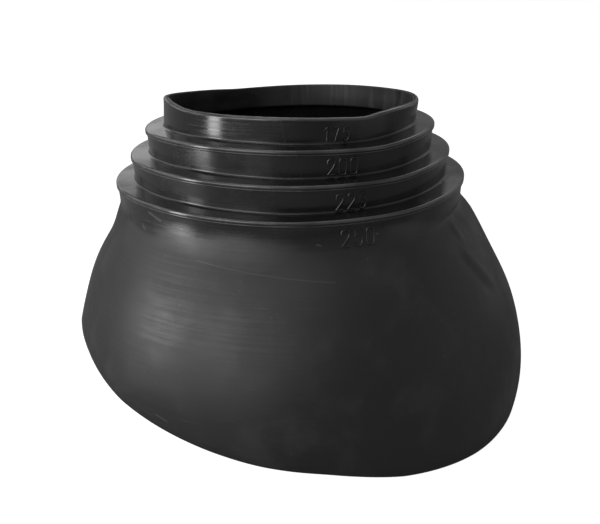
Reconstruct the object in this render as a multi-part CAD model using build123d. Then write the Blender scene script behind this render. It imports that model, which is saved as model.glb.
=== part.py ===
from build123d import *
import os
from math import cos, radians, sin

# Stepped rubber boot that seals a pipe where it passes through a pitched roof, in millimetres.
# The roof plane is z = 0, the centre of the skirt's rim is the origin, and the slope falls towards -Y.

# Pipe grips: one tier for each pipe size, the thinnest pipe at the top
tier_count = 4
first_grip_radius = 84.0    # bore of the top tier, 3.5 mm under its pipe so that it holds by stretch
grip_radius_step = 11.0     # what each lower tier adds
tier_height = 17.5          # from one rim to the next

# Moulded wall
wall = 2.8                  # skirt and tiers at their foot
wall_lean = 0.8             # how much a tier's outside narrows from its rim to its foot
rim_overhang = 1.1          # how far a rim stands out past its wall; the top lip has none
shelf_fall = 0.8            # how much a shelf drops from the wall above to its rim
rim_bevel = 1.1             # outer edge of the top lip and of every rim below it

# Skirt
roof_pitch = 11.0           # between the pipe's axis and the square of the roof, degrees
neck_height = 126.5         # along the pipe's axis, from the roof up to the lowest tier's rim
skirt_radius = 164.5        # rim that lies on the roof
skirt_shift = 9.0           # how far the rim's centre lies down the slope from the pipe's axis
skirt_bulge = 10.5          # how far the skirt swells at half height, all round
bulge_shift = 8.5           # and more on the side down the slope
seam_turn = 20.0            # the faces start this far round from the top of the slope, off the middle

pipe_foot = Vector(0, skirt_shift, 0)
pipe_direction = Vector(0, sin(radians(roof_pitch)), cos(radians(roof_pitch)))
seam_side = Vector(cos(radians(seam_turn)), sin(radians(seam_turn)), 0)


def section_plane(centre, normal):
    """A plane across the boot, with the start of its round faces up the slope."""
    return Plane(centre, x_dir=normal.cross(seam_side), z_dir=normal)


neck_plane = section_plane(pipe_foot + pipe_direction * neck_height, pipe_direction)


def grip_radius(tier):
    return first_grip_radius + grip_radius_step * tier


def rim_level(tier):
    """Height of a tier's rim over the lowest rim, along the pipe's axis."""
    return tier_height * (tier_count - 1 - tier)


def outer_points():
    """The outside of the tiers from the plain top lip down to the foot of the lowest wall."""
    points = []
    for tier in range(tier_count):
        foot_radius = grip_radius(tier) + wall
        wall_radius = foot_radius + wall_lean
        rim_radius = wall_radius + rim_overhang
        level = rim_level(tier)
        is_lowest = tier == tier_count - 1
        foot_level = level - tier_height + (0 if is_lowest else shelf_fall)
        if tier == 0:
            points.append((wall_radius, level))
        else:
            points += [(rim_radius, level), (rim_radius, level - wall), (wall_radius, level - wall)]
        points.append((foot_radius, foot_level))
    return points


def inner_points():
    """The inside of the tiers from the foot of the lowest bore up to the top lip."""
    points = [(grip_radius(tier_count - 1), -tier_height)]
    for tier in reversed(range(1, tier_count)):
        ceiling = rim_level(tier) - wall
        points += [(grip_radius(tier), ceiling), (grip_radius(tier - 1), ceiling)]
    points.append((grip_radius(0), rim_level(0)))
    return points


def vertices_at(face, corners):
    """The vertices of a profile that lie at the given radii and heights."""
    return [
        vertex
        for vertex in face.vertices()
        if any(abs(vertex.X - r) + abs(vertex.Z - z) < 0.001 for r, z in corners)
    ]


def tier_stack():
    """The stepped tiers, revolved round the pipe's axis."""
    outside = outer_points()
    profile = make_face(Plane.XZ * Polyline(*outside, *inner_points(), close=True))
    top_lip, rims = outside[0], outside[2::4]
    profile = chamfer(vertices_at(profile, [top_lip, *rims]), min(rim_bevel, 0.4 * wall))
    return neck_plane * revolve(profile, Axis.Z)


def skirt_form(inset):
    """A closed form under the tiers: its sections turn from square to the pipe to flat on the roof."""
    top_radius = grip_radius(tier_count - 1) + wall - inset
    top_centre = neck_plane.origin - pipe_direction * tier_height
    rim_radius = skirt_radius - inset
    down_slope = Vector(0, -cos(radians(roof_pitch / 2)), sin(radians(roof_pitch / 2)))
    middle_centre = top_centre * 0.5 + down_slope * bulge_shift
    middle_normal = Vector(0, sin(radians(roof_pitch / 2)), cos(radians(roof_pitch / 2)))
    middle_radius = (top_radius + rim_radius) / 2 + skirt_bulge
    sections = [
        section_plane(top_centre, pipe_direction) * Circle(top_radius),
        section_plane(middle_centre, middle_normal) * Circle(middle_radius),
        section_plane(Vector(0, 0, 0), Vector(0, 0, 1)) * Circle(rim_radius),
    ]
    return loft(sections)


def skirt():
    """The flared skirt, hollow with an even wall."""
    return skirt_form(0) - skirt_form(wall)


boot = tier_stack() + skirt()

os.makedirs("parts", exist_ok=True)
export_step(boot, "parts/flashing_boot.step")
print("volume", round(boot.volume), "box", boot.bounding_box())
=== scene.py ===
import math

import bpy
from mathutils import Matrix, Vector


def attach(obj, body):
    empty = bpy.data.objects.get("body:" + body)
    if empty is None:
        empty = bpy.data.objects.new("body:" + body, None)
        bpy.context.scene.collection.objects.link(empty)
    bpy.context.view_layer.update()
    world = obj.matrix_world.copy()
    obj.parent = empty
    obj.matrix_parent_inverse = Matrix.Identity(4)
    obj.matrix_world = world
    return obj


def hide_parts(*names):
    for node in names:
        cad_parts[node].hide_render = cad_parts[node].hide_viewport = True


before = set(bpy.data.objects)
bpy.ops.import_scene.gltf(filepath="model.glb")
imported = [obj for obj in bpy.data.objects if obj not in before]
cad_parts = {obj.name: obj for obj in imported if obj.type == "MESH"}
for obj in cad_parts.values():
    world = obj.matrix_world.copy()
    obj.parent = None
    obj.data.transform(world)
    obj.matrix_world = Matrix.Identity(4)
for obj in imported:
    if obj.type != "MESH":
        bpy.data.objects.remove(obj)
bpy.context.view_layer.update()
print("stage: frame loaded")

mm = 0.001

# the boot as it was moulded, in millimetres and degrees
boot = {
    "tiers": 4,
    "firstGrip": 84.0,       # inside radius of the top tier
    "gripStep": 11.0,
    "tierHeight": 17.5,
    "wall": 2.8,
    "wallLean": 0.8,
    "rimOverhang": 1.1,
    "shelfFall": 0.8,
    "roofPitch": 11.0,
    "neckHeight": 126.5,
    "skirtRadius": 164.5,
    "skirtShift": 9.0,
    "skirtBulge": 10.5,
    "bulgeShift": 8.5,
    "lipRound": 1.6,         # outer edge of the plain top lip
    "rimRound": 1.4,         # outer edges of the rims below it
    "grooveDepth": 0.4,      # fine groove round a rim, with a thin ridge under it
    "footRound": 1.2,        # where a wall meets its shelf
    "columns": 340,
}

# where the camera stands round the neck, from -Y towards +X; sides below are counted from here
cameraSide = -67.9


def gripRadius(tier):
    return boot["firstGrip"] + boot["gripStep"] * tier


def rimLevel(tier):
    return boot["tierHeight"] * (boot["tiers"] - 1 - tier)


def roundedPath(corners, longest):
    # corners are (radius, height, rounding); straight runs are cut to the longest length
    path = []
    for index, (x, z, rounding) in enumerate(corners):
        here = Vector((x, z))
        if index in (0, len(corners) - 1) or rounding <= 0:
            path.append(here)
            continue
        before = Vector(corners[index - 1][:2])
        after = Vector(corners[index + 1][:2])
        inward, outward = (here - before).normalized(), (after - here).normalized()
        turn = math.acos(max(-1, min(1, inward.dot(outward))))
        cut = min(rounding * math.tan(turn / 2), 0.8 * (here - before).length,
                  0.8 * (after - here).length)
        rounding = cut / math.tan(turn / 2)
        start, end = here - inward * cut, here + outward * cut
        side = 1 if inward.x * outward.y - inward.y * outward.x > 0 else -1
        centre = start + Vector((-inward.y, inward.x)) * side * rounding
        steps = max(2, round(math.degrees(turn) / 22.5))
        spoke = start - centre
        for part in range(steps + 1):
            angle = side * turn * part / steps
            path.append(centre + Vector((
                spoke.x * math.cos(angle) - spoke.y * math.sin(angle),
                spoke.x * math.sin(angle) + spoke.y * math.cos(angle),
            )))
    rows = [path[0]]
    for point in path[1:]:
        run = point - rows[-1]
        if run.length > 1.2:                      # a row close to each end keeps the shading flat
            first, last = rows[-1] + run.normalized() * 0.3, point - run.normalized() * 0.3
            pieces = max(1, math.ceil((run.length - 0.6) / longest))
            rows.append(first)
            rows += [first.lerp(last, piece / pieces) for piece in range(1, pieces)]
            rows.append(last)
        rows.append(point)
    return rows


def outsideCorners():
    corners = [(boot["firstGrip"], rimLevel(0), 0.0)]
    for tier in range(boot["tiers"]):
        foot = gripRadius(tier) + boot["wall"]
        wallRadius = foot + boot["wallLean"]
        rim = wallRadius + boot["rimOverhang"]
        level = rimLevel(tier)
        lowest = tier == boot["tiers"] - 1
        footLevel = level - boot["tierHeight"] + (0 if lowest else boot["shelfFall"])
        if tier == 0:
            corners.append((wallRadius, level, boot["lipRound"]))
        else:
            corners += [
                (rim, level, boot["rimRound"]),
                (rim, level - 2.0, 0.2),
                (rim - boot["grooveDepth"], level - 2.3, 0.1),
                (rim - 0.05, level - 2.65, 0.3),
                (rim - 0.05, level - 3.3, 0.35),
                (wallRadius, level - 3.4, 0.3),
            ]
        corners.append((foot, footLevel, boot["footRound"]))
    return corners


def insideCorners():
    corners = [(gripRadius(boot["tiers"] - 1), -boot["tierHeight"], 0.0)]
    for tier in reversed(range(1, boot["tiers"])):
        ceiling = rimLevel(tier) - boot["wall"]
        corners += [(gripRadius(tier), ceiling, 1.0), (gripRadius(tier - 1), ceiling, 0.8)]
    corners += [(boot["firstGrip"], rimLevel(0), 0.7), (boot["firstGrip"] + 1.5, rimLevel(0), 0.0)]
    return corners


def skirtShares(count, nearNeck, nearHem):
    # shares of the way down the skirt, closer together at both ends
    shares = []
    for index in range(1, count):
        t = index / count
        shares.append(nearNeck * t ** 3 / 3 + (1 - nearNeck / 3 - nearHem / 3) * t
                      + nearHem * (1 - (1 - t) ** 3) / 3)
    return shares


def bootRows():
    # every row is (position, is it on the skirt); skirt rows hold the inset in x and the share in y
    neck = roundedPath(outsideCorners(), 2.6)
    rows = [((p.x, 0, p.y), 0) for p in neck[1:]]
    length, hem = 135.0, 1.1                      # along the skirt, and the rounding of its rim
    close = [0.006, 0.013, 0.021, 0.030, 0.040, 0.052]
    shares = close + [0.052 + 0.93 * s for s in skirtShares(40, 0, 0)]
    rows += [((0, s, 0), 1) for s in shares]
    for part in range(5):
        turn = math.radians(90) * part / 4
        rows.append(((hem * (1 - math.cos(turn)), 1 - hem / length * (1 - math.sin(turn)), 0), 1))
    for part in range(5):
        turn = math.radians(90) * part / 4
        rows.append((
            (boot["wall"] - hem * (1 - math.sin(turn)), 1 - hem / length * (1 - math.cos(turn)), 0),
            1,
        ))
    rows += [((boot["wall"], 1 - s, 0), 1) for s in (0.02, 0.05, *[0.1 * i for i in range(1, 10)], 0.96)]
    inside = roundedPath(insideCorners(), 6.0)
    rows += [((p.x, 0, p.y), 0) for p in inside]
    rows.append(rows[0])                          # the path closes on the top lip
    return rows


def addNode(tree, kind, settings=None, **links):
    # one node with its settings; links are socket names with underscores for spaces
    node = tree.nodes.new(kind)
    for name, value in (settings or {}).items():
        setattr(node, name, value)
    for name, value in links.items():
        name = name.replace("_", " ")
        socket = node.inputs[int(name[1:])] if name[0] == "n" and name[1:].isdigit() else node.inputs[name]
        if isinstance(value, bpy.types.NodeSocket):
            tree.links.new(value, socket)
        else:
            socket.default_value = value
    return node


def treeWithInputs(name, sockets):
    tree = bpy.data.node_groups.new(name, "GeometryNodeTree")
    tree.interface.new_socket("Geometry", in_out="INPUT", socket_type="NodeSocketGeometry")
    for label, kind in sockets:
        tree.interface.new_socket(label, in_out="INPUT", socket_type="NodeSocket" + kind)
    tree.interface.new_socket("Geometry", in_out="OUTPUT", socket_type="NodeSocketGeometry")
    return tree, tree.nodes.new("NodeGroupInput").outputs


def calc(tree, operation, a, b=0.0, c=0.0):
    return addNode(tree, "ShaderNodeMath", {"operation": operation}, n0=a, n1=b, n2=c).outputs[0]


def vectorCalc(tree, operation, a, b=(0, 0, 0)):
    return addNode(tree, "ShaderNodeVectorMath", {"operation": operation}, n0=a, n1=b).outputs[0]


def scaled(tree, vector, factor):
    node = addNode(tree, "ShaderNodeVectorMath", {"operation": "SCALE"}, n0=vector)
    if isinstance(factor, bpy.types.NodeSocket):
        tree.links.new(factor, node.inputs["Scale"])
    else:
        node.inputs["Scale"].default_value = factor
    return node.outputs[0]


def bootTree():
    tree, given = treeWithInputs("mouldedBoot", [
        ("Columns", "Int"), ("Roof Pitch", "Float"), ("Neck Height", "Float"),
        ("Neck Foot Level", "Float"), ("Neck Foot Radius", "Float"), ("Skirt Radius", "Float"),
        ("Skirt Shift", "Float"), ("Skirt Bulge", "Float"), ("Bulge Shift", "Float"),
        ("Rubber", "Material"),
    ])
    profile = given["Geometry"]
    rowCount = addNode(tree, "GeometryNodeAttributeDomainSize", Geometry=profile).outputs["Point Count"]
    columns = calc(tree, "ADD", given["Columns"], 1)
    sheet = addNode(tree, "GeometryNodeMeshGrid", Size_X=1, Size_Y=1, Vertices_X=columns,
                    Vertices_Y=rowCount).outputs["Mesh"]
    place = addNode(tree, "ShaderNodeSeparateXYZ",
                    Vector=addNode(tree, "GeometryNodeInputPosition").outputs[0]).outputs
    turn = calc(tree, "MULTIPLY", place["X"], 2 * math.pi)
    row = calc(tree, "MULTIPLY", calc(tree, "ADD", place["Y"], 0.5), calc(tree, "SUBTRACT", rowCount, 1))
    row = calc(tree, "ROUND", row)

    def sampled(kind, value):
        return addNode(tree, "GeometryNodeSampleIndex", {"data_type": kind}, Geometry=profile,
                       Value=value, Index=row).outputs[0]

    point = sampled("FLOAT_VECTOR", addNode(tree, "GeometryNodeInputPosition").outputs[0])
    named = addNode(tree, "GeometryNodeInputNamedAttribute", {"data_type": "FLOAT"}, Name="onSkirt")
    onSkirt = sampled("FLOAT", named.outputs["Attribute"])
    point = addNode(tree, "ShaderNodeSeparateXYZ", Vector=point).outputs
    inset, share = point["X"], point["Y"]
    sine, cosine = calc(tree, "SINE", turn), calc(tree, "COSINE", turn)
    backwards = calc(tree, "MULTIPLY", cosine, -1)
    spoke = addNode(tree, "ShaderNodeCombineXYZ", X=sine, Y=backwards).outputs[0]
    foot = addNode(tree, "ShaderNodeCombineXYZ", Y=given["Skirt Shift"]).outputs[0]

    def leaned(vector, pitch):
        return addNode(tree, "ShaderNodeVectorRotate", {"rotation_type": "X_AXIS"}, Vector=vector,
                       Angle=calc(tree, "MULTIPLY", pitch, -1)).outputs[0]

    def onNeck(radius, level):
        height = calc(tree, "ADD", given["Neck Height"], level)
        upright = addNode(tree, "ShaderNodeCombineXYZ", Z=height).outputs[0]
        upright = vectorCalc(tree, "ADD", scaled(tree, spoke, radius), upright)
        return vectorCalc(tree, "ADD", leaned(upright, given["Roof Pitch"]), foot)

    neckPoint = onNeck(point["X"], point["Z"])
    # the skirt is a quadratic from the neck's foot, through the swollen middle, to its rim
    topRadius = calc(tree, "SUBTRACT", given["Neck Foot Radius"], inset)
    rimRadius = calc(tree, "SUBTRACT", given["Skirt Radius"], inset)
    top, rim = onNeck(topRadius, given["Neck Foot Level"]), scaled(tree, spoke, rimRadius)
    halfPitch = calc(tree, "MULTIPLY", given["Roof Pitch"], 0.5)
    middleRadius = calc(tree, "ADD", calc(tree, "MULTIPLY", calc(tree, "ADD", topRadius, rimRadius), 0.5),
                        given["Skirt Bulge"])
    shiftBack = addNode(tree, "ShaderNodeCombineXYZ",
                        Y=calc(tree, "MULTIPLY", given["Bulge Shift"], -1)).outputs[0]
    middle = leaned(vectorCalc(tree, "ADD", scaled(tree, spoke, middleRadius), shiftBack), halfPitch)
    topHeight = calc(tree, "ADD", given["Neck Height"], given["Neck Foot Level"])
    topCentre = leaned(addNode(tree, "ShaderNodeCombineXYZ", Z=topHeight).outputs[0], given["Roof Pitch"])
    middle = vectorCalc(tree, "ADD", middle, scaled(tree, vectorCalc(tree, "ADD", topCentre, foot), 0.5))
    control = vectorCalc(tree, "SUBTRACT", scaled(tree, middle, 2),
                         scaled(tree, vectorCalc(tree, "ADD", top, rim), 0.5))
    rest = calc(tree, "SUBTRACT", 1, share)
    fall = vectorCalc(tree, "ADD", scaled(tree, top, calc(tree, "MULTIPLY", rest, rest)),
                      scaled(tree, rim, calc(tree, "MULTIPLY", share, share)))
    across = calc(tree, "MULTIPLY", calc(tree, "MULTIPLY", rest, share), 2)
    skirtPoint = vectorCalc(tree, "ADD", fall, scaled(tree, control, across))
    choice = tree.nodes.new("GeometryNodeSwitch")
    choice.input_type = "VECTOR"
    tree.links.new(calc(tree, "GREATER_THAN", onSkirt, 0.5), choice.inputs["Switch"])
    tree.links.new(neckPoint, choice.inputs["False"])
    tree.links.new(skirtPoint, choice.inputs["True"])
    shaped = addNode(tree, "GeometryNodeSetPosition", Geometry=sheet,
                     Position=scaled(tree, choice.outputs[0], mm)).outputs[0]
    closed = addNode(tree, "GeometryNodeMergeByDistance", Geometry=shaped, Distance=0.004 * mm).outputs[0]
    # the grid's rows run so that its faces come out turned inwards
    outward = addNode(tree, "GeometryNodeFlipFaces", Mesh=closed).outputs[0]
    smooth = addNode(tree, "GeometryNodeSetShadeSmooth", Geometry=outward).outputs[0]
    real = addNode(tree, "GeometryNodeRealizeInstances", Geometry=smooth).outputs[0]
    painted = addNode(tree, "GeometryNodeSetMaterial", Geometry=real, Material=given["Rubber"]).outputs[0]
    tree.links.new(painted, tree.nodes.new("NodeGroupOutput").inputs[0])
    return tree


def grown(source, tree, values, name):
    # runs a tree on an object and leaves a plain mesh in its place
    bpy.context.scene.collection.objects.link(source)
    modifier = source.modifiers.new(tree.name, "NODES")
    modifier.node_group = tree
    for item in tree.interface.items_tree:
        if item.in_out == "INPUT" and item.name in values:
            modifier[item.identifier] = values[item.name]
    graph = bpy.context.evaluated_depsgraph_get()
    mesh = bpy.data.meshes.new_from_object(source.evaluated_get(graph), depsgraph=graph)
    source.modifiers.clear()
    bpy.data.objects.remove(source)
    piece = bpy.data.objects.new(name, mesh)
    bpy.context.scene.collection.objects.link(piece)
    return piece


def linear(colour):
    # sRGB hex to the linear values that a shader takes
    parts = [int(colour[i:i + 2], 16) / 255 for i in (1, 3, 5)]
    return (*[p / 12.92 if p <= 0.04045 else ((p + 0.055) / 1.055) ** 2.4 for p in parts], 1.0)


# EPDM rubber, black with carbon: glossy where the turned steel mould shaped it, satin on the skirt
rubber = {
    "base": "#171718",
    # lighter colour for dust, specks and scuffs, also used for the painted highlights on rim edges and
    # turning streaks
    "dustAndHighlight": "#6d6d6b",
    "soot": "#050505",       # dark marks
    "tierRoughness": 0.22,
    "skirtRoughness": 0.50,
    "refraction": 1.6,
    "turningMark": 0.55,     # millimetres between the marks that the turned mould left
    "perDegree": 1.9,        # millimetres round the neck to a degree, for the marks below
}
# marks on the surface: from and to as (side, level), half width in millimetres, strength
lightMarks = [
    {"start": (-46, -7.0), "end": (-41, -10.0), "width": 1.1, "strength": 0.35},
    {"start": (-50, -17.0), "end": (-48.5, -18.5), "width": 0.7, "strength": 0.4},
    {"start": (-26, -27.5), "end": (-12, -30.5), "width": 0.25, "strength": 0.25},
    {"start": (-12, -30.5), "end": (11, -35.5), "width": 0.25, "strength": 0.2},
    {"start": (-36, -118.0), "end": (-34, -121.0), "width": 0.3, "strength": 0.5},
    {"start": (-30, -114.5), "end": (-27, -116.5), "width": 0.3, "strength": 0.4},
    {"start": (7, -16.0), "end": (8, -16.6), "width": 0.5, "strength": 0.3},
    {"start": (24, -12.8), "end": (25, -13.2), "width": 0.5, "strength": 0.3},
]
darkMarks = [
    {"start": (-3.5, 49.0), "end": (-2.0, 36.5), "width": 0.5, "strength": 0.8},
    {"start": (1.2, 48.0), "end": (3.8, 17.5), "width": 0.35, "strength": 0.55},
    {"start": (-60, -15.5), "end": (-58.5, -17.5), "width": 0.9, "strength": 0.8},
    {"start": (-51.5, -15.0), "end": (-50.5, -18.5), "width": 0.8, "strength": 0.7},
]


def rubberMaterial():
    material = bpy.data.materials.new("blackEpdmRubber")
    material.use_nodes = True
    tree = material.node_tree
    tree.nodes.clear()
    place = addNode(tree, "ShaderNodeTexCoord").outputs["Object"]
    # the pipe's frame: side round the neck in degrees, level over the lowest rim and radius in millimetres
    upright = addNode(tree, "ShaderNodeMapping", {"vector_type": "POINT"}, Vector=place,
                      Rotation=(math.radians(boot["roofPitch"]), 0, 0)).outputs[0]
    axes = addNode(tree, "ShaderNodeSeparateXYZ", Vector=upright).outputs
    lean = math.radians(boot["roofPitch"])
    x = calc(tree, "MULTIPLY", axes["X"], 1000)
    y = calc(tree, "MULTIPLY_ADD", axes["Y"], 1000, -boot["skirtShift"] * math.cos(lean))
    neckLevel = boot["skirtShift"] * math.sin(lean) + boot["neckHeight"]
    level = calc(tree, "MULTIPLY_ADD", axes["Z"], 1000, -neckLevel)
    radius = calc(tree, "SQRT", calc(tree, "MULTIPLY_ADD", x, x, calc(tree, "MULTIPLY", y, y)))
    spin = math.radians(cameraSide)
    across = calc(tree, "ADD", calc(tree, "MULTIPLY", x, math.cos(spin)),
                  calc(tree, "MULTIPLY", y, math.sin(spin)))
    front = calc(tree, "SUBTRACT", calc(tree, "MULTIPLY", x, math.sin(spin)),
                 calc(tree, "MULTIPLY", y, math.cos(spin)))
    side = calc(tree, "DEGREES", calc(tree, "ARCTAN2", across, front))

    def between(value, low, high, start=0.0, end=1.0):
        return addNode(tree, "ShaderNodeMapRange", {"interpolation_type": "SMOOTHSTEP"}, Value=value,
                       From_Min=low, From_Max=high, To_Min=start, To_Max=end).outputs[0]

    def noiseAt(vector, scale, detail=3.0, roughness=0.55):
        return addNode(tree, "ShaderNodeTexNoise", Vector=vector, Scale=scale, Detail=detail,
                       Roughness=roughness).outputs["Fac"]

    def stretched(scale):
        return addNode(tree, "ShaderNodeMapping", {"vector_type": "POINT"}, Vector=upright,
                       Scale=scale).outputs[0]

    def product(*values):
        total = values[0]
        for value in values[1:]:
            total = calc(tree, "MULTIPLY", total, value)
        return total

    perDegree = rubber["perDegree"]
    flat = addNode(tree, "ShaderNodeCombineXYZ", X=calc(tree, "MULTIPLY", side, perDegree),
                   Y=level).outputs[0]

    def marked(marks):
        # how strongly a point is covered by the short marks
        total = None
        for mark in marks:
            start = Vector((mark["start"][0] * perDegree, mark["start"][1], 0))
            run = Vector((mark["end"][0] * perDegree, mark["end"][1], 0)) - start
            offset = vectorCalc(tree, "SUBTRACT", flat, tuple(start))
            dot = addNode(tree, "ShaderNodeVectorMath", {"operation": "DOT_PRODUCT"}, n0=offset,
                          n1=tuple(run / run.length_squared)).outputs["Value"]
            along = addNode(tree, "ShaderNodeClamp", Value=dot).outputs[0]
            reach = addNode(tree, "ShaderNodeCombineXYZ", X=run.x, Y=run.y).outputs[0]
            away = addNode(tree, "ShaderNodeVectorMath", {"operation": "DISTANCE"}, n0=offset,
                           n1=scaled(tree, reach, along)).outputs["Value"]
            cover = between(away, 0.0, mark["width"] * 1.6, mark["strength"], 0.0)
            total = cover if total is None else calc(tree, "MAXIMUM", total, cover)
        return total

    # masks: inside of the neck, the skirt, and the left side that the lamps light, where the turning streaks
    # get a painted sheen
    inside = product(between(radius, 85.0, 86.4, 1.0, 0.0), between(level, 28.0, 34.0))
    skirt = between(level, -24.0, -8.0, 1.0, 0.0)
    litSide = product(between(side, -70, -40), between(side, -4, 12, 1.0, 0.0))
    cloud = noiseAt(place, 30.0, 5.0, 0.6)
    streaks = noiseAt(stretched((5, 5, 1000 / rubber["turningMark"])), 1.0, 2.0)
    brokenUp = noiseAt(stretched((60, 60, 240)), 1.0, 3.0)
    hanging = noiseAt(stretched((160, 160, 14)), 1.0, 3.0)
    grain = noiseAt(place, 1400.0, 2.0)
    specks = between(noiseAt(place, 420.0, 2.0, 0.5), 0.66, 0.74)
    scratches = between(streaks, 0.60, 0.72)
    # painted sheen: the real turning marks are drawn lighter only on the lit left side, where the light
    # picks them out
    streakSheen = product(scratches, litSide, between(brokenUp, 0.48, 0.62))

    # light marks: dust inside, specks and scuffs, plus painted highlights: turning streaks drawn lighter on
    # the lit left side and rim edges drawn lighter
    dustAndPaintedHighlight = product(inside, between(side, -40, 40, 0.0, 1.0), between(hanging, 0.42, 0.72), 0.30)
    dustAndPaintedHighlight = calc(tree, "MAXIMUM", dustAndPaintedHighlight, product(streakSheen, 0.16))
    dustAndPaintedHighlight = calc(tree, "MAXIMUM", dustAndPaintedHighlight, product(specks, between(cloud, 0.45, 0.6), 0.16))
    dustAndPaintedHighlight = calc(tree, "MAXIMUM", dustAndPaintedHighlight, product(between(cloud, 0.5, 0.7), 0.07))
    dustAndPaintedHighlight = calc(tree, "MAXIMUM", dustAndPaintedHighlight, marked(lightMarks))
    # painted highlight: the rounded rim edges and the ridge under them are drawn lighter, standing for the
    # light they catch
    rimHighlight = addNode(tree, "ShaderNodeAttribute", {"attribute_name": "rimEdge"}).outputs["Fac"]
    dustAndPaintedHighlight = calc(tree, "MAXIMUM", dustAndPaintedHighlight, product(rimHighlight, between(cloud, 0.35, 0.6, 0.18, 0.42)))
    dark = marked(darkMarks)
    shade = addNode(tree, "ShaderNodeMix", {"data_type": "RGBA"}, Factor=dustAndPaintedHighlight)
    shade.inputs[6].default_value = linear(rubber["base"])
    shade.inputs[7].default_value = linear(rubber["dustAndHighlight"])
    deep = addNode(tree, "ShaderNodeMix", {"data_type": "RGBA"}, Factor=dark)
    tree.links.new(shade.outputs[2], deep.inputs[6])
    deep.inputs[7].default_value = linear(rubber["soot"])

    rough = calc(tree, "MULTIPLY_ADD", skirt, rubber["skirtRoughness"] - rubber["tierRoughness"],
                 rubber["tierRoughness"])
    rough = calc(tree, "ADD", rough, between(cloud, 0.38, 0.66, -0.05, 0.08))
    rough = calc(tree, "ADD", rough, product(between(streaks, 0.35, 0.65, -0.04, 0.06), litSide))
    rough = calc(tree, "ADD", rough, product(inside, 0.22))
    rough = calc(tree, "ADD", rough, product(dark, 0.5))
    rough = calc(tree, "ADD", rough, product(rimHighlight, -0.06))
    lumps = addNode(tree, "ShaderNodeBump", Height=grain, Distance=0.000012, Strength=0.5)
    lines = addNode(tree, "ShaderNodeBump", Height=product(streaks, between(litSide, 0, 1, 0.25, 1.0)),
                    Distance=0.00003, Strength=0.6, Normal=lumps.outputs[0])
    shader = addNode(tree, "ShaderNodeBsdfPrincipled", Base_Color=deep.outputs[2], Roughness=rough,
                     IOR=rubber["refraction"], Normal=lines.outputs[0])
    tree.links.new(shader.outputs[0], tree.nodes.new("ShaderNodeOutputMaterial").inputs[0])
    return material


rubberLook = rubberMaterial()
print("stage: rubber")


def bell(value, width):
    return math.exp(-((value / width) ** 2))


def step(value, low, high):
    t = max(0.0, min(1.0, (value - low) / (high - low)))
    return t * t * (3 - 2 * t)


def turnFrom(angle, side):
    # degrees between two directions round the neck, kept within half a turn
    return (angle - cameraSide - side + 180) % 360 - 180


pitch = math.radians(boot["roofPitch"])
pipeDirection = Vector((0, math.sin(pitch), math.cos(pitch)))
acrossSlope = Vector((0, math.cos(pitch), -math.sin(pitch)))
neckCentre = Vector((0, boot["skirtShift"], 0)) + pipeDirection * boot["neckHeight"]


def onPipe(point):
    # angle from -Y, radius and level of a point in the pipe's frame, millimetres and degrees
    offset = point - neckCentre
    x, y = offset.x, offset.dot(acrossSlope)
    return math.degrees(math.atan2(x, -y)), math.hypot(x, y), offset.dot(pipeDirection)


def smoothAround(side, stops):
    # a smooth closed curve through (side, value) stops, from left to right round the neck
    for index, here in enumerate(stops):
        there = stops[(index + 1) % len(stops)]
        span, along = (there[0] - here[0]) % 360, (side - here[0]) % 360
        if along <= span:
            break
    before, beyond = stops[index - 1], stops[(index + 2) % len(stops)]
    slopeIn = span * (there[1] - before[1]) / ((there[0] - before[0]) % 360)
    slopeOut = span * (beyond[1] - here[1]) / ((beyond[0] - here[0]) % 360)
    t = along / span
    return (here[1] * (2 * t ** 3 - 3 * t ** 2 + 1) + slopeIn * (t ** 3 - 2 * t ** 2 + t)
            + there[1] * (3 * t ** 2 - 2 * t ** 3) + slopeOut * (t ** 3 - t ** 2))


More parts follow.
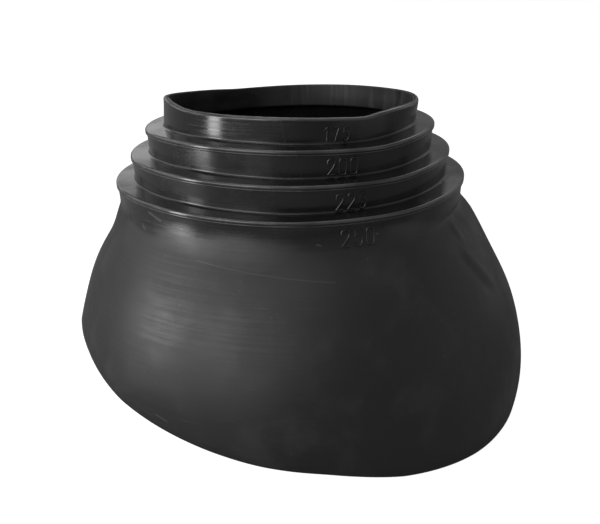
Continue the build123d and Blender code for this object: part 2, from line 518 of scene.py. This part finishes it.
# the soft rubber stands off its moulded form: sides in degrees to the right of the camera, millimetres
slack = {
    "tierRise": [(-140, -1.4), (-90, -1.3), (-45, -0.7), (-20, -1.4), (0, -2.2), (20, -2.0), (35, -1.9),
                 (46, -1.0), (62, 0.3), (78, 1.7), (95, 2.4), (125, 2.2), (170, 0.0)],
    "upperRise": [(-140, -0.5), (-90, -0.9), (-50, 0.4), (0, 1.3), (30, 0.1), (64, 0.2), (90, -1.3),
                  (130, -1.0), (180, -0.6)],
    "lipRise": [(-153, -6.0), (-137, -4.9), (-118, -3.2), (-95, -0.6), (-76, 1.4), (-62, 0.2), (-50, -1.3),
                (-37, -1.4), (-17, -1.5), (0, -1.9), (18, -2.7), (32, -3.5), (40, -2.1), (54, -1.0),
                (72, -1.4), (97, -1.2), (123, -2.4), (147, -3.3), (168, -4.3)],
    "lipPush": [(-140, -1.0), (-90, -1.5), (-60, -1.0), (-30, -0.3), (0, 0.0), (60, 0.2), (90, 0.8),
                (120, 0.8), (170, 0.0)],
    "creaseWidth": [(-150, 4.0), (-75, 2.0), (-58, 3.0), (-44, 9.0), (-30, 13.0), (0, 14.0), (35, 13.0),
                    (50, 6.0), (64, 2.5), (90, 2.0), (140, 5.0)],
    "creaseRise": [(-150, 1.5), (-100, 1.5), (-78, 2.0), (-60, 0.8), (-45, 0.0), (48, 0.0), (60, 1.0),
                   (75, 2.5), (92, 2.5), (115, 2.5), (160, 1.5)],
    "hemPush": [(-150, -0.5), (-110, 1.6), (-85, 2.0), (-75, 0.5), (-65, -0.75), (-57, -0.4), (-50, 0.5),
                (-40, 2.0), (-30, 2.2), (-20, 1.4), (-10, 1.0), (-4, 0.0), (4, -1.5), (10, -1.0), (15, 0.0),
                (23, 1.7), (30, 2.0), (42, 1.4), (55, 0.5), (68, 0.4), (90, 1.5), (130, 1.5), (170, 0.0)],
    "shoulderPush": [(-120, -1.0), (-80, -2.0), (-55, -0.8), (-30, 0.0), (30, 0.0), (60, -1.0), (82, -2.8),
                     (120, -1.5), (180, 0.0)],
    "bellyPush": [(-120, 0.5), (-80, 1.2), (-50, 0.3), (0, 0.0), (50, -0.6), (80, -1.9), (120, -1.0),
                  (180, 0.0)],
    "hemSpare": 1.5,         # the moulded rim is this much wider all round than the settled one
    "skirtLength": 138.0,    # down the skirt from the neck to its rim
    "creaseFill": 0.75,      # how strongly the crease is swept out
    "foldRadius": 130.0,     # where the folds' degrees are counted in millimetres
}
slackRound = {name: [smoothAround(side, stops) for side in range(-180, 181)]
              for name, stops in slack.items() if isinstance(stops, list)}

# folds pressed into the skirt's right shoulder: from and to as (side, share down the skirt), millimetres
folds = [
    {"start": (62, 0.015), "end": (96, 0.05), "width": 3.6, "height": -1.7},
    {"start": (57, 0.03), "end": (57, 0.075), "width": 2.4, "height": 1.1},
    {"start": (55, 0.13), "end": (61, 0.28), "width": 2.6, "height": 1.0},
    {"start": (52, 0.15), "end": (57, 0.28), "width": 3.2, "height": -0.7},
    {"start": (74, 0.04), "end": (69, 0.13), "width": 2.4, "height": 0.9},
]


def slackAt(name, side):
    low = min(359, math.floor(side + 180))
    values = slackRound[name]
    return values[low] + (values[low + 1] - values[low]) * (side + 180 - low)


def foldPush(side, share):
    degree, down = math.radians(1) * slack["foldRadius"], slack["skirtLength"]
    here = Vector((side * degree, share * down))
    push = 0.0
    for fold in folds:
        start = Vector((fold["start"][0] * degree, fold["start"][1] * down))
        end = Vector((fold["end"][0] * degree, fold["end"][1] * down))
        run = end - start
        along = max(0.0, min(1.0, (here - start).dot(run) / run.length_squared))
        away = (here - start - run * along).length
        push += fold["height"] * bell(away, fold["width"])
    return push


def relaxed(point):
    angle, radius, level = onPipe(point)
    side, spin = turnFrom(angle, 0), math.radians(angle)
    radial = Vector((math.sin(spin), 0, 0)) - acrossSlope * math.cos(spin)
    footLevel = -boot["tierHeight"]
    top = step(level, rimLevel(1) + 1, rimLevel(0) - 1)
    rise = slackAt("tierRise", side) + slackAt("upperRise", side) * max(0.0, level / rimLevel(1))
    rise = (rise * (1 - top) + slackAt("lipRise", side) * top) * step(level, footLevel - 55, footLevel + 5)
    push = slackAt("lipPush", side) * top
    share = 0.0
    if level < footLevel:
        # share of the way down the skirt, from the height over the roof
        foot = neckCentre.z + math.cos(pitch) * footLevel \
            + math.sin(pitch) * math.cos(spin) * (gripRadius(boot["tiers"] - 1) + boot["wall"])
        share = max(0.0, min(1.0, 1 - point.z / foot))
    # the crease between the lowest wall and the skirt: a soft sweep in front, sharp at both ends
    away = slack["skirtLength"] * share if share else max(0.0, level - footLevel)
    width = slackAt("creaseWidth", side)
    if away < width:
        push += slack["creaseFill"] * (width - away) ** 2 / (4 * width)
    rise += slackAt("creaseRise", side) * (bell(share, 0.22) if share else step(-level, 2, -footLevel))
    moved = point + pipeDirection * rise + radial * push
    if share:
        outward = Vector((point.x, point.y, 0)).normalized()
        roofSide = turnFrom(math.degrees(math.atan2(point.x, -point.y)), 0)
        hem = min(slackAt("hemPush", roofSide) * share ** 3 - slack["hemSpare"] * share, -0.1 * share)
        swell = slackAt("shoulderPush", side) * bell(share - 0.22, 0.16) \
            + slackAt("bellyPush", side) * bell(share - 0.55, 0.28)
        moved += outward * (hem + swell * (1 - share ** 6) + foldPush(side, share))
    return moved


def rimEdge(point):
    # 1 on the rounded edge of a rim and on the thin ridge under it, 0 elsewhere: where the material paints a
    # highlight on the rims
    _, radius, level = onPipe(point)
    for tier in range(boot["tiers"]):
        wallRadius = gripRadius(tier) + boot["wall"] + boot["wallLean"]
        rim = wallRadius + (boot["rimOverhang"] if tier else 0)
        below = rimLevel(tier) - level
        if abs(radius - rim) < 1.3 and -0.1 < below < 1.4:
            return 1.0
        if tier and abs(radius - rim) < 0.4 and 2.6 < below < 3.4:
            return 0.7
    return 0.0


def makeBoot():
    rows = bootRows()
    mesh = bpy.data.meshes.new("bootProfile")
    mesh.from_pydata([p for p, _ in rows], [(i, i + 1) for i in range(len(rows) - 1)], [])
    mark = mesh.attributes.new("onSkirt", "FLOAT", "POINT")
    for item, (_, onSkirt) in zip(mark.data, rows):
        item.value = onSkirt
    piece = grown(bpy.data.objects.new("bootProfile", mesh), bootTree(), {
        "Columns": boot["columns"],
        "Roof Pitch": math.radians(boot["roofPitch"]),
        "Neck Height": boot["neckHeight"],
        "Neck Foot Level": -boot["tierHeight"],
        "Neck Foot Radius": gripRadius(boot["tiers"] - 1) + boot["wall"],
        "Skirt Radius": boot["skirtRadius"],
        "Skirt Shift": boot["skirtShift"],
        "Skirt Bulge": boot["skirtBulge"],
        "Bulge Shift": boot["bulgeShift"],
        "Rubber": rubberLook,
    }, "boot")
    rimMark = piece.data.attributes.new("rimEdge", "FLOAT", "POINT")
    for vertex, item in zip(piece.data.vertices, rimMark.data):
        item.value = rimEdge(vertex.co / mm)
        vertex.co = relaxed(vertex.co / mm) * mm
    return piece


bootPiece = makeBoot()
print("stage: boot,", len(bootPiece.data.vertices), "vertices")

# the plain raised pipe sizes, one on each wall, in millimetres
numbers = {
    "sizes": ("175", "200", "225", "250"),
    "side": (18.4, 18.4, 19.0, 18.8),   # degrees to the right of the camera
    "below": (5.6, 5.6, 6.2, 6.6),      # from the rim to the top of the figures
    "height": 9.2,
    "width": (3.7, 4.4, 4.5, 4.8),
    "advance": (6.2, 7.2, 7.2, 7.8),
    "stroke": 0.72,          # radius of the ridge
    "sunk": 0.05,
}
# strokes of each figure on a square from 0 to 1, smoothed by a NURBS curve
figures = {
    "1": [[(0.1, 0.76), (0.3, 0.82), (0.62, 1.0)], [(0.62, 1.0), (0.62, 0.5), (0.62, 0.0)]],
    "2": [[(0.02, 0.7), (0.02, 0.88), (0.2, 1.02), (0.62, 1.04), (0.98, 0.92), (1.0, 0.68), (0.72, 0.42),
           (0.02, 0.0)], [(0.02, 0.0), (0.5, 0.0), (1.0, 0.0)]],
    "5": [[(0.95, 1.0), (0.5, 1.0), (0.18, 1.0)], [(0.18, 1.0), (0.14, 0.8), (0.1, 0.56)],
          [(0.1, 0.56), (0.3, 0.68), (0.75, 0.66), (1.02, 0.48), (1.02, 0.14), (0.7, -0.04), (0.3, -0.04),
           (0.02, 0.14)]],
    "7": [[(0.02, 1.0), (0.5, 1.0), (1.0, 1.0)], [(1.0, 1.0), (0.6, 0.5), (0.38, 0.0)]],
    "0": [[(0.5, 1.04), (0.02, 1.04), (-0.02, 0.5), (0.02, -0.04), (0.5, -0.04), (0.98, -0.04), (1.02, 0.5),
           (0.98, 1.04), (0.5, 1.04)]],
}


def numberTree():
    tree, given = treeWithInputs("raisedNumber", [
        ("Roof Pitch", "Float"), ("Neck Height", "Float"), ("Skirt Shift", "Float"),
        ("Wall Radius", "Float"), ("Lean", "Float"), ("Turn", "Float"), ("Level", "Float"),
        ("Stroke", "Float"), ("Rubber", "Material"),
    ])
    line = addNode(tree, "GeometryNodeResampleCurve", {"mode": "LENGTH"}, Curve=given["Geometry"],
                   Length=0.3).outputs[0]
    place = addNode(tree, "ShaderNodeSeparateXYZ",
                    Vector=addNode(tree, "GeometryNodeInputPosition").outputs[0]).outputs
    # the figures are drawn flat in X and Y, then wrapped round the wall
    angle = calc(tree, "ADD", calc(tree, "DIVIDE", place["X"], given["Wall Radius"]), given["Turn"])
    radius = calc(tree, "ADD", given["Wall Radius"], calc(tree, "MULTIPLY", place["Y"], given["Lean"]))
    height = calc(tree, "ADD", calc(tree, "ADD", place["Y"], given["Level"]), given["Neck Height"])
    x = calc(tree, "MULTIPLY", calc(tree, "SINE", angle), radius)
    y = calc(tree, "MULTIPLY", calc(tree, "MULTIPLY", calc(tree, "COSINE", angle), radius), -1)
    upright = addNode(tree, "ShaderNodeCombineXYZ", X=x, Y=y, Z=height).outputs[0]
    leaned = addNode(tree, "ShaderNodeVectorRotate", {"rotation_type": "X_AXIS"}, Vector=upright,
                     Angle=calc(tree, "MULTIPLY", given["Roof Pitch"], -1)).outputs[0]
    shift = addNode(tree, "ShaderNodeCombineXYZ", Y=given["Skirt Shift"]).outputs[0]
    wrapped = addNode(tree, "GeometryNodeSetPosition", Geometry=line,
                      Position=vectorCalc(tree, "ADD", leaned, shift)).outputs[0]
    ring = addNode(tree, "GeometryNodeCurvePrimitiveCircle", Resolution=8, Radius=given["Stroke"]).outputs[0]
    ridge = addNode(tree, "GeometryNodeCurveToMesh", Curve=wrapped, Profile_Curve=ring,
                    Fill_Caps=True).outputs[0]
    sized = addNode(tree, "GeometryNodeTransform", Geometry=ridge, Scale=(mm, mm, mm)).outputs[0]
    smooth = addNode(tree, "GeometryNodeSetShadeSmooth", Geometry=sized).outputs[0]
    real = addNode(tree, "GeometryNodeRealizeInstances", Geometry=smooth).outputs[0]
    painted = addNode(tree, "GeometryNodeSetMaterial", Geometry=real, Material=given["Rubber"]).outputs[0]
    tree.links.new(painted, tree.nodes.new("NodeGroupOutput").inputs[0])
    return tree


def numberStrokes(text, width, advance):
    curve = bpy.data.curves.new("strokes" + text, "CURVE")
    curve.dimensions = "3D"
    left = -(advance * (len(text) - 1) + width) / 2
    for index, figure in enumerate(text):
        for stroke in figures[figure]:
            spline = curve.splines.new("NURBS")
            spline.points.add(len(stroke) - 1)
            for point, (x, y) in zip(spline.points, stroke):
                across = left + advance * index + width * x
                point.co = (across, numbers["height"] * (y - 1), 0, 1)
            spline.order_u = 3
            spline.use_endpoint_u = True
            spline.resolution_u = 8
    return curve


def makeNumbers():
    tree = numberTree()
    parts = []
    for tier, text in enumerate(numbers["sizes"]):
        wallTop = gripRadius(tier) + boot["wall"] + boot["wallLean"]
        lean = boot["wallLean"] / (boot["tierHeight"] - boot["wall"])
        below = numbers["below"][tier]
        strokes = numberStrokes(text, numbers["width"][tier], numbers["advance"][tier])
        source = bpy.data.objects.new("strokes" + text, strokes)
        parts.append(grown(source, tree, {
            "Roof Pitch": math.radians(boot["roofPitch"]),
            "Neck Height": boot["neckHeight"],
            "Skirt Shift": boot["skirtShift"],
            "Wall Radius": wallTop - lean * (below - boot["wall"]) - numbers["sunk"],
            "Lean": lean,
            "Turn": math.radians(cameraSide + numbers["side"][tier]),
            "Level": rimLevel(tier) - below,
            "Stroke": numbers["stroke"],
            "Rubber": rubberLook,
        }, "size" + text))
    joined = parts[0]
    with bpy.context.temp_override(active_object=joined, selected_editable_objects=parts):
        bpy.ops.object.join()
    joined.name = "sizeNumbers"
    for vertex in joined.data.vertices:
        vertex.co = relaxed(vertex.co / mm) * mm
    return joined


numbersPiece = makeNumbers()
print("stage: numbers,", len(numbersPiece.data.vertices), "vertices")

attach(bootPiece, "root")
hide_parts("flashing_boot")
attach(numbersPiece, "root")

# studio: a pale floor, soft lamps and the camera
studio = {
    "azimuth": -72.86,
    "elevation": 24.22,
    "roll": 10.94,
    "aim": (16.73, 17.97, 48.33),
    "distance": 578.0,
    "lens": 45.0,
    "floor": "#a6a6a6",
    "worldLight": 0.20,
}


def makeCamera():
    azimuth, elevation = math.radians(studio["azimuth"]), math.radians(studio["elevation"])
    back = Vector((math.sin(azimuth) * math.cos(elevation), -math.cos(azimuth) * math.cos(elevation),
                   math.sin(elevation)))
    level = Vector((0, 0, 1)).cross(back).normalized()
    upright = back.cross(level)
    roll = math.radians(studio["roll"])
    right = level * math.cos(roll) + upright * math.sin(roll)
    litSide = Matrix((right, back.cross(right), back)).transposed().to_4x4()
    data = bpy.data.cameras.new("camera")
    data.lens, data.sensor_width, data.sensor_fit = studio["lens"], 36.0, "HORIZONTAL"
    data.clip_start, data.clip_end = 0.01, 50
    camera = bpy.data.objects.new("camera", data)
    place = (Vector(studio["aim"]) + back * studio["distance"]) * mm
    camera.matrix_world = Matrix.Translation(place) @ litSide
    bpy.context.scene.collection.objects.link(camera)
    bpy.context.scene.camera = camera


def whiteToCamera(tree, lit, strength):
    # camera rays see a white ground, other rays see the lit material only
    rays = addNode(tree, "ShaderNodeLightPath").outputs
    glow = addNode(tree, "ShaderNodeEmission", Color=(1, 1, 1, 1),
                   Strength=calc(tree, "MULTIPLY", rays["Is Camera Ray"], strength)).outputs[0]
    return addNode(tree, "ShaderNodeAddShader", n0=lit, n1=glow).outputs[0]


def makeFloor():
    material = bpy.data.materials.new("paleFloor")
    material.use_nodes = True
    tree = material.node_tree
    tree.nodes.clear()
    paint = addNode(tree, "ShaderNodeBsdfDiffuse", Color=linear(studio["floor"])).outputs[0]
    tree.links.new(whiteToCamera(tree, paint, 0.93), tree.nodes.new("ShaderNodeOutputMaterial").inputs[0])
    mesh = bpy.data.meshes.new("floor")
    half = 4.0
    corners = [(-half, -half, 0), (half, -half, 0), (half, half, 0), (-half, half, 0)]
    mesh.from_pydata(corners, [], [(0, 1, 2, 3)])
    mesh.transform(Matrix.Translation((0, 0, -0.0004)))
    mesh.materials.append(material)
    floor = bpy.data.objects.new("floor", mesh)
    bpy.context.scene.collection.objects.link(floor)


def makeWorld():
    world = bpy.data.worlds.new("studio")
    world.use_nodes = True
    tree = world.node_tree
    tree.nodes.clear()
    rays = addNode(tree, "ShaderNodeLightPath").outputs
    seen = calc(tree, "MULTIPLY", rays["Is Camera Ray"], 1 - studio["worldLight"])
    sky = addNode(tree, "ShaderNodeBackground", Color=(1, 1, 1, 1),
                  Strength=calc(tree, "ADD", seen, studio["worldLight"])).outputs[0]
    tree.links.new(sky, tree.nodes.new("ShaderNodeOutputWorld").inputs[0])
    bpy.context.scene.world = world


def makeLamp(name, side, elevation, distance, size, watts, height=0.1):
    # side is counted like the boot's, in degrees to the right of the camera
    data = bpy.data.lights.new(name, "AREA")
    data.shape = "RECTANGLE"
    data.size, data.size_y = size
    data.energy = watts
    angle, rise = math.radians(cameraSide + side), math.radians(elevation)
    back = Vector((math.sin(angle) * math.cos(rise), -math.cos(angle) * math.cos(rise), math.sin(rise)))
    lamp = bpy.data.objects.new(name, data)
    lamp.location = Vector((0, 0.02, height)) + back * distance
    lamp.rotation_mode = "QUATERNION"
    lamp.rotation_quaternion = back.to_track_quat("Z", "Y")
    lamp.visible_camera = False
    bpy.context.scene.collection.objects.link(lamp)


makeCamera()
makeFloor()
makeWorld()
makeLamp("stripeCard", -63, 0, 0.42, (0.08, 0.20), 0.40, height=0.10)
makeLamp("rimStrip", -55, 60, 1.2, (1.6, 0.14), 1.8)
makeLamp("leftWindow", -45, 12, 1.2, (0.8, 0.7), 3.2)
makeLamp("frontLeft", -24, 14, 1.3, (0.5, 0.6), 0.9)
makeLamp("farLeft", -84, 10, 1.3, (0.6, 0.8), 1.5)
makeLamp("leftBehind", -115, 15, 1.4, (0.7, 0.8), 1.5)
makeLamp("backLow", -158, 5, 1.5, (1.2, 0.3), 0.8)
makeLamp("above", -90, 84, 1.4, (1.0, 1.0), 1.6)
makeLamp("right", 75, 14, 1.4, (0.8, 0.8), 0.35)
makeLamp("rightBehind", 120, 20, 1.4, (0.8, 0.8), 0.5)
makeLamp("backHigh", 180, 38, 1.5, (1.2, 0.6), 2.6)
makeLamp("skirtLeft", -36, 26, 1.2, (0.6, 0.35), 0.8)
bpy.context.scene.view_settings.view_transform = "Standard"
print("stage: studio")
